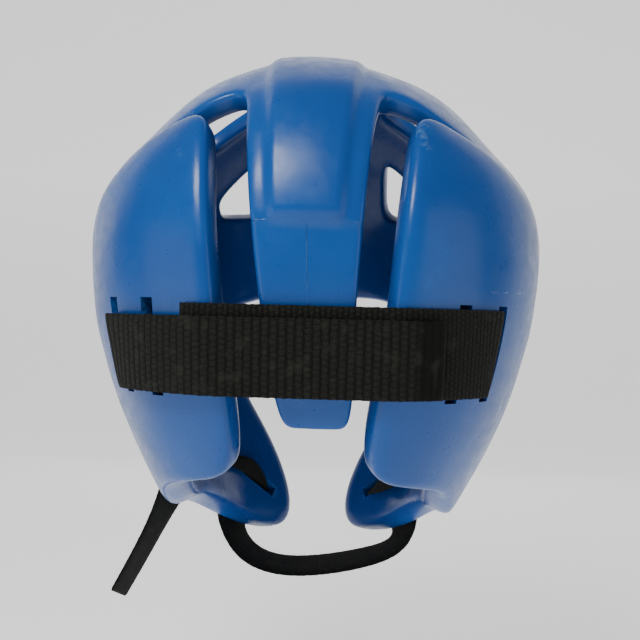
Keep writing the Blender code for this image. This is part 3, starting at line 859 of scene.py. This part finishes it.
class Skin:
    """The faces of the finished shell before its slots are cut, which the straps are laid on."""

    def __init__(self, piece: bpy.types.Object) -> None:
        """Read the shell's mesh."""
        mesh = piece.data
        points = [vertex.co.copy() for vertex in mesh.vertices]
        self.tree = BVHTree.FromPolygons(points, [list(face.vertices) for face in mesh.polygons])

    def cast(self, start: np.ndarray, heading: np.ndarray) -> np.ndarray:
        """Find the first point of the shell met from a place in a direction."""
        return np.array(self.tree.ray_cast(Vector(start), Vector(heading))[0])

    def back(self, x: float, level: float) -> tuple[np.ndarray, np.ndarray] | None:
        """Find the outside of the back wall at this x and level, with its normal."""
        spot, normal, _, _ = self.tree.ray_cast(Vector((x, 0.4, level)), Vector((0, -1, 0)))
        return None if spot is None else (np.array(spot), unit(normal))

    def near(self, point: np.ndarray) -> tuple[np.ndarray, np.ndarray]:
        """Find the nearest point of the shell and its normal."""
        spot, normal, _, _ = self.tree.find_nearest(Vector(point))
        return np.array(spot), unit(normal)


def tangents(path: np.ndarray) -> np.ndarray:
    """Give the unit direction of a path at each of its points.

    Args:
        path: Rows of points.

    Returns:
        Rows of directions.
    """
    steps = np.diff(path, axis=0)
    steps /= np.linalg.norm(steps, axis=1, keepdims=True)
    both = np.concatenate([steps[:1], steps[:-1] + steps[1:], steps[-1:]])
    return both / np.linalg.norm(both, axis=1, keepdims=True)


def rounded(
    points: list[np.ndarray], corners: list[int], radius: float, steps: int = 6
) -> tuple[np.ndarray, list[int]]:
    """Round some corners of a path.

    Args:
        points: The path's points.
        corners: The places of the points to round.
        radius: How far from its corner each curve starts.
        steps: Points on each curve.

    Returns:
        The new path, and for each of its points the place of the old one it came from.
    """
    path, places = [points[0]], [0]
    for place in range(1, len(points) - 1):
        before, corner, after = points[place - 1 : place + 2]
        if place not in corners:
            path.append(corner)
            places.append(place)
            continue
        start = corner + unit(before - corner) * min(radius, 0.45 * np.linalg.norm(before - corner))
        end = corner + unit(after - corner) * min(radius, 0.45 * np.linalg.norm(after - corner))
        share = np.linspace(0, 1, steps)[:, None]
        path += list((1 - share) ** 2 * start + 2 * share * (1 - share) * corner + share**2 * end)
        places += [place] * steps
    return np.array(path + [points[-1]]), places + [len(points) - 1]


def smoothed(path: np.ndarray, spacing: float, passes: int, held: np.ndarray | None = None) -> np.ndarray:
    """Respace a path evenly and ease its turns.

    Args:
        path: Rows of values whose first three are a point.
        spacing: Metres between its new points.
        passes: How often each inner point is moved to the mean of itself and its neighbours.
        held: Places near which the path is eased only a few times.

    Returns:
        The new rows.
    """
    run = np.concatenate([[0], np.cumsum(np.linalg.norm(np.diff(path[:, :3], axis=0), axis=1))])
    stops = np.linspace(0, run[-1], max(4, round(run[-1] / spacing)))
    new = np.stack([np.interp(stops, run, path[:, k]) for k in range(path.shape[1])], -1)
    loose = np.ones(len(new) - 2, bool)
    for turn in range(passes):
        if held is not None and turn == 3:
            away = np.linalg.norm(new[1:-1, None, :3] - held[None], axis=-1)
            loose = away.min(axis=1) > 0.011
        eased = (new[:-2] + 2 * new[1:-1] + new[2:]) / 4
        new[1:-1] = np.where(loose[:, None], eased, new[1:-1])
    return new


@dataclass
class Band:
    """A flat strap: a rounded section swept along a path, whose width may lean and narrow."""

    name: str
    width: float
    thick: float
    material: bpy.types.Material
    slot: str
    around: int = 28
    rough_edge: float = 0.0

    def sweep(self, low: np.ndarray, high: np.ndarray, pressed: bool = True) -> bpy.types.Object:
        """Sweep the strap between the paths of its two edges.

        The surface's two parameters are the distance along the strap and the turn round its
        section. The section is a rounded bar: its half width times the cosine and its half
        thickness times the sine of the turn, each raised to a small power that squares it.

        Args:
            low: The path of the lower edge.
            high: The path of the upper edge, with as many points.
            pressed: Whether the ends are pressed thin.

        Returns:
            The strap.
        """
        middle, across = (low + high) / 2, high - low
        half = np.linalg.norm(across, axis=1) / 2
        across /= 2 * half[:, None]
        facing = np.cross(tangents(middle), across)
        facing /= np.linalg.norm(facing, axis=1, keepdims=True)
        turn = np.linspace(0, 2 * math.pi, self.around, endpoint=False)
        wide = np.sign(np.cos(turn)) * np.abs(np.cos(turn)) ** 0.55
        deep = np.sign(np.sin(turn)) * np.abs(np.sin(turn)) ** 0.45
        run = np.concatenate([[0], np.cumsum(np.linalg.norm(np.diff(middle, axis=0), axis=1))])
        ends = np.ones(len(run))
        if pressed:
            ends = 0.35 + 0.65 * step(np.minimum(run, run[-1] - run), 0.0, 0.0015)
        fray = self.rough_edge * (np.sin(run * 2100) + np.sin(run * 3371 + 1) + np.sin(run * 977 + 2)) / 3
        spread = (half + fray)[:, None, None] * wide[:, None]
        rise = (ends * self.thick / 2)[:, None, None] * deep[:, None]
        points = middle[:, None] + across[:, None] * spread + facing[:, None] * rise
        columns, around = points.shape[:2]
        number = np.arange(columns * around).reshape(columns, around)
        beside = np.roll(number, -1, axis=1)
        faces = np.stack([number[:-1], beside[:-1], beside[1:], number[1:]], -1).reshape(-1, 4)
        return self._link(points.reshape(-1, 3), faces, number, run, wide * half.mean())

    def _link(
        self, points: np.ndarray, faces: np.ndarray, number: np.ndarray, run: np.ndarray, side: np.ndarray
    ) -> bpy.types.Object:
        """Make the object, close its ends and map it in metres along and across."""
        mesh = bpy.data.meshes.new(self.name)
        ends = [number[0][::-1].tolist(), number[-1].tolist()]
        mesh.from_pydata(points.tolist(), [], faces.tolist() + ends)
        corners = np.empty(len(mesh.loops), np.int32)
        mesh.loops.foreach_get("vertex_index", corners)
        across = number.shape[1]
        place = np.stack([run[corners // across], side[corners % across]], -1)
        layer = mesh.uv_layers.new(name="band")
        layer.data.foreach_set("uv", place.astype(np.float32).ravel())
        work = bmesh.new()
        work.from_mesh(mesh)
        bmesh.ops.recalc_face_normals(work, faces=work.faces)
        work.to_mesh(mesh)
        work.free()
        mesh.shade_smooth()
        mesh.materials.append(self.material)
        piece = bpy.data.objects.new(self.name, mesh)
        bpy.context.scene.collection.objects.link(piece)
        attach(piece, "root")
        LOG.info("%s: %d points", self.name, len(points))
        return piece


@dataclass
class RearHarness:
    """The elastic across the back and the strap that folds back over it."""

    shell: FoamShell
    elastic_material: bpy.types.Material
    strap_material: bpy.types.Material
    cutters: list = field(default_factory=list)

    def _line(self, side: int, x: float) -> tuple[np.ndarray, np.ndarray]:
        """Lay the line of a slot square to the panel at the elastic's middle height."""
        spot, normal = self.shell.skin.back(side * x, STRAP_LOW_EDGE + ELASTIC_WIDTH / 2)
        return spot, unit([normal[0], normal[1], 0])

    def _ends(self, line: tuple[np.ndarray, np.ndarray], level: float) -> tuple[np.ndarray, np.ndarray]:
        """Find where a slot's line meets the outer and inner sides of the wall at this level."""
        spot, normal = line
        middle = np.array([spot[0], spot[1], level])
        skin = self.shell.skin
        return skin.cast(middle + normal * 0.1, -normal), skin.cast(middle - normal * 2.5 * PAD_WALL, normal)

    def _bridge(self, side: int, level: float, thick: float, enter: float, leave: float) -> list[np.ndarray]:
        """Path from the mouth of an inner slot, behind the bridge and out of the outer slot."""
        first, second = self._line(side, INNER_SLOT_X), self._line(side, OUTER_SLOT_X)
        (mouth, low), (far, end) = self._ends(first, level), self._ends(second, level)
        inside = thick / 2 + GAP
        behind = [low - first[1] * inside, end - second[1] * inside]
        return [mouth + first[1] * enter, *behind, far + second[1] * leave]

    def _across(self, level: float, start: float, end: float, lift: float) -> list[np.ndarray]:
        """Path laid taut over the rear panels and the tongue, from one x to another."""
        taut: list[np.ndarray] = []
        for x in np.linspace(min(start, end), max(start, end), 60):
            found = self.shell.skin.back(x, level)
            if found is None or found[0][1] < 0:
                continue
            spot = found[0] + unit([found[1][0], found[1][1], 0]) * lift
            while len(taut) > 1 and self._bends_in(taut[-2], taut[-1], spot):
                taut.pop()
            taut.append(spot)
        line = np.array(taut)
        stops = np.linspace(start, end, max(3, round(abs(end - start) / 0.003)))
        return [np.array([x, np.interp(x, line[:, 0], line[:, 1]), level]) for x in stops]

    @staticmethod
    def _bends_in(first: np.ndarray, middle: np.ndarray, last: np.ndarray) -> bool:
        """Say whether a path seen from above bends towards the head at its middle point."""
        one, two = middle - first, last - first
        return one[0] * two[1] - one[1] * two[0] >= 0

    def build(self) -> list[bpy.types.Object]:
        """Make both straps and note the slots to cut.

        Returns:
            The elastic and the strap.
        """
        low_lift = SLACK + ELASTIC_THICK / 2
        top_lift = SLACK + STRAP_THICK + GAP * 0.6 + STRAP_THICK / 2

        def elastic(level: float) -> np.ndarray:
            points = self._bridge(-1, level, ELASTIC_THICK, -0.001, low_lift)
            points += self._across(level, -OUTER_SLOT_X + 0.004, JOIN_X, low_lift)
            return rounded(points, [1, 2, 3], 0.002)[0]

        def strap(level: float) -> np.ndarray:
            under = self._across(level, JOIN_X + GAP, INNER_SLOT_X - 0.004, low_lift)
            points = under + self._bridge(1, level, STRAP_THICK, low_lift, top_lift)
            points += self._across(level, OUTER_SLOT_X - 0.004, STRAP_END_X, top_lift)
            return rounded(points, list(range(len(under), len(under) + 4)), 0.002)[0][::-1]

        pieces = []
        for name, path, width, thick, material, slot in (
            ("elastic_band", elastic, ELASTIC_WIDTH, ELASTIC_THICK, self.elastic_material, "black_elastic"),
            ("fold_over_strap", strap, STRAP_WIDTH, STRAP_THICK, self.strap_material, "black_strap"),
        ):
            band = Band(name, width, thick, material, slot, rough_edge=0.00018)
            edges = [path(level) for level in (STRAP_LOW_EDGE, STRAP_LOW_EDGE + width)]
            joined = smoothed(np.concatenate(edges, axis=1), 0.0012, 2)
            pieces.append(band.sweep(joined[:, :3], joined[:, 3:]))
        for side in (-1, 1):
            for x in (INNER_SLOT_X, OUTER_SLOT_X):
                spot, normal = self._line(side, x)
                size = (ELASTIC_WIDTH + 2 * SLOT_MARGIN, SLOT_WIDTH, 3 * PAD_WALL)
                self.cutters.append((spot - normal * PAD_WALL / 2, normal, np.array([0.0, 0.0, 1.0]), size))
        return pieces


@dataclass
class ChinStrap:
    """The fuzzy strap under the chin, through its slots to its free end."""

    shell: FoamShell
    material: bpy.types.Material
    cutters: list = field(default_factory=list)

    def build(self) -> bpy.types.Object:
        """Make the strap and note the slots to cut.

        Returns:
            The strap.
        """
        skin, lift = self.shell.skin, CHIN_THICK / 2 + 1.3 * SLACK
        points: list[np.ndarray] = []
        faces: list[np.ndarray] = []
        corners: list[int] = []
        slots: list[tuple[int, np.ndarray, np.ndarray, Way]] = []
        for stop in CHIN_PATH:
            level = WIDEST_LEVEL - stop.down * JAW_DROP
            spot = np.array([stop.across * HALF_WIDTH, stop.along * FRONT_REACH, level])
            if stop.way is Way.FREE:
                points.append(spot)
                faces.append(unit(stop.facing))
                continue
            spot, normal = skin.near(spot)
            if stop.way is Way.ON_OUTSIDE:
                points.append(spot + normal * lift)
                faces.append(normal)
                continue
            inner = skin.cast(spot - normal * 2.5 * PAD_WALL, normal)
            ends = [inner - normal * lift, spot + normal * lift]
            corners += [len(points), len(points) + 1]
            slots.append((len(points), spot, normal, stop.way))
            points += ends if stop.way is Way.SLOT_OUTWARDS else ends[::-1]
            faces += [normal, normal]
        widths = np.cross(tangents(np.array(points)), np.array(faces))
        for place, spot, normal, way in slots:
            far = points[place + 2] if way is Way.SLOT_OUTWARDS else points[place - 1]
            along = unit(np.cross(far - spot, normal))
            widths[place] = widths[place + 1] = along
            size = (CHIN_WIDTH + 1.2 * SLOT_MARGIN, CHIN_SLOT_WIDTH, 3 * PAD_WALL)
            self.cutters.append((spot - normal * PAD_WALL / 2, normal, along, size))
        widths /= np.linalg.norm(widths, axis=1, keepdims=True)
        for place in range(1, len(widths)):
            if np.dot(widths[place], widths[place - 1]) < 0:
                widths[place] = -widths[place]
        path, places = rounded(points, corners, 0.0025)
        held = np.array([spot for _, spot, _, _ in slots])
        joined = smoothed(np.concatenate([path, widths[places]], axis=1), 0.0012, 160, held)
        middle, width = joined[:, :3], joined[:, 3:]
        width = width / np.linalg.norm(width, axis=1, keepdims=True) * CHIN_WIDTH / 2
        band = Band("chin_webbing", CHIN_WIDTH, CHIN_THICK, self.material, "black_webbing", rough_edge=0.0003)
        return band.sweep(middle - width, middle + width)


@dataclass
class Studio:
    """The sweep behind the guard, the lights and the camera."""

    distance: float = 0.490
    swing: float = 2.5
    roll: float = 1.5
    lens: float = 56.25

    def build(self) -> None:
        """Make the sweep, the lights, the world and the camera."""
        self._sweep()
        self._light("key", (0.25, 0.55, 0.55), 0.30, 5.5)
        self._light("left_fill", (0.75, 0.45, 0.0), 0.5, 0.8)
        self._light("right_fill", (-0.75, 0.35, 0.1), 0.5, 0.8)
        self._light("front_fill", (0.0, -0.9, 0.3), 0.9, 0.8)
        world = bpy.data.worlds.new("studio")
        bpy.context.scene.world = world
        world.use_nodes = True
        background = world.node_tree.nodes["Background"]
        background.inputs["Color"].default_value = (0.92, 0.94, 0.96, 1.0)
        background.inputs["Strength"].default_value = 0.22
        self._camera()

    def _light(self, name: str, place: tuple[float, float, float], size: float, power: float) -> None:
        """Add a square light that looks at the guard's middle."""
        data = bpy.data.lights.new(name, "AREA")
        data.size = size
        data.energy = power
        lamp = bpy.data.objects.new(name, data)
        lamp.location = (place[0], place[1], place[2] + EYE_LEVEL)
        aim = Vector((0, 0, EYE_LEVEL)) - lamp.location
        lamp.rotation_euler = aim.to_track_quat("-Z", "Y").to_euler()
        bpy.context.scene.collection.objects.link(lamp)

    def _sweep(self) -> None:
        """Make a pale floor that curves up into a wall: a profile swept straight across."""
        turn = np.linspace(0, math.pi / 2, 16)
        floor = EYE_LEVEL - 0.235
        along = np.concatenate([[3.0], -1.0 - 0.5 * np.sin(turn), [-1.5]])
        up = np.concatenate([[0.0], 0.5 - 0.5 * np.cos(turn), [3.0]]) + floor
        x = np.array([-3.0, 3.0])
        points = np.stack(np.broadcast_arrays(x[:, None], along, up), -1)
        number = np.arange(points.shape[0] * points.shape[1]).reshape(points.shape[:2])
        faces = np.stack([number[:-1, :-1], number[1:, :-1], number[1:, 1:], number[:-1, 1:]], -1)
        material = bpy.data.materials.new("pale_sweep")
        material.use_nodes = True
        shader = material.node_tree.nodes["Principled BSDF"]
        shader.inputs["Base Color"].default_value = (0.93, 0.93, 0.93, 1.0)
        shader.inputs["Emission Color"].default_value = (1.0, 1.0, 1.0, 1.0)
        shader.inputs["Emission Strength"].default_value = 0.60
        shader.inputs["Roughness"].default_value = 0.8
        sweep = make_object("studio_sweep", points.reshape(-1, 3), faces.reshape(-1, 4), material)

    def _camera(self) -> None:
        """Stand the camera behind the guard, a little towards -X, and roll it as in the photograph."""
        data = bpy.data.cameras.new("camera")
        data.lens = self.lens
        data.sensor_width = 36.0
        data.shift_x = 5 / 640
        data.shift_y = -4 / 640
        camera = bpy.data.objects.new("camera", data)
        swing = math.radians(self.swing)
        target = Vector((0, 0, EYE_LEVEL))
        camera.location = target + Vector((-math.sin(swing), math.cos(swing), 0)) * self.distance
        turn = (target - camera.location).to_track_quat("-Z", "Y")
        camera.rotation_euler = (turn @ Quaternion((0, 0, 1), math.radians(self.roll))).to_euler()
        bpy.context.scene.collection.objects.link(camera)
        bpy.context.scene.camera = camera


def main() -> None:
    """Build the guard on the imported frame, then the studio."""
    logging.basicConfig(level=logging.INFO, format="%(message)s")
    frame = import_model()
    groups = {"threads": threads_group(), "unevenness": unevenness_group()}
    shell = FoamShell(VinylFinish().build(groups))
    shell.build()
    elastic = BandFinish("woven_elastic", 0.0022, 0.0022, 0.5, 0.00045).build(groups)
    strap = BandFinish("ribbed_strap", 0.0033, 0.0025, 0.5, 0.00060, plain_end=0.011).build(groups)
    webbing = BandFinish("fuzzy_webbing", 0.0012, 0.0012, 0.5, 0.00012, fuzz=0.0006).build(groups)
    harness = RearHarness(shell, elastic, strap)
    bands = harness.build()
    chin = ChinStrap(shell, webbing)
    chin_piece = chin.build()
    shell.cut(harness.cutters + chin.cutters)
    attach(shell.piece, "root")
    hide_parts("foam_shell")
    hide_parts("rear_elastic")
    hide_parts("rear_strap")
    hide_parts("chin_strap")
    LOG.info("foam_shell_skin: %d faces", len(shell.piece.data.polygons))
    Studio().build()


if __name__ == "__main__":
    main()
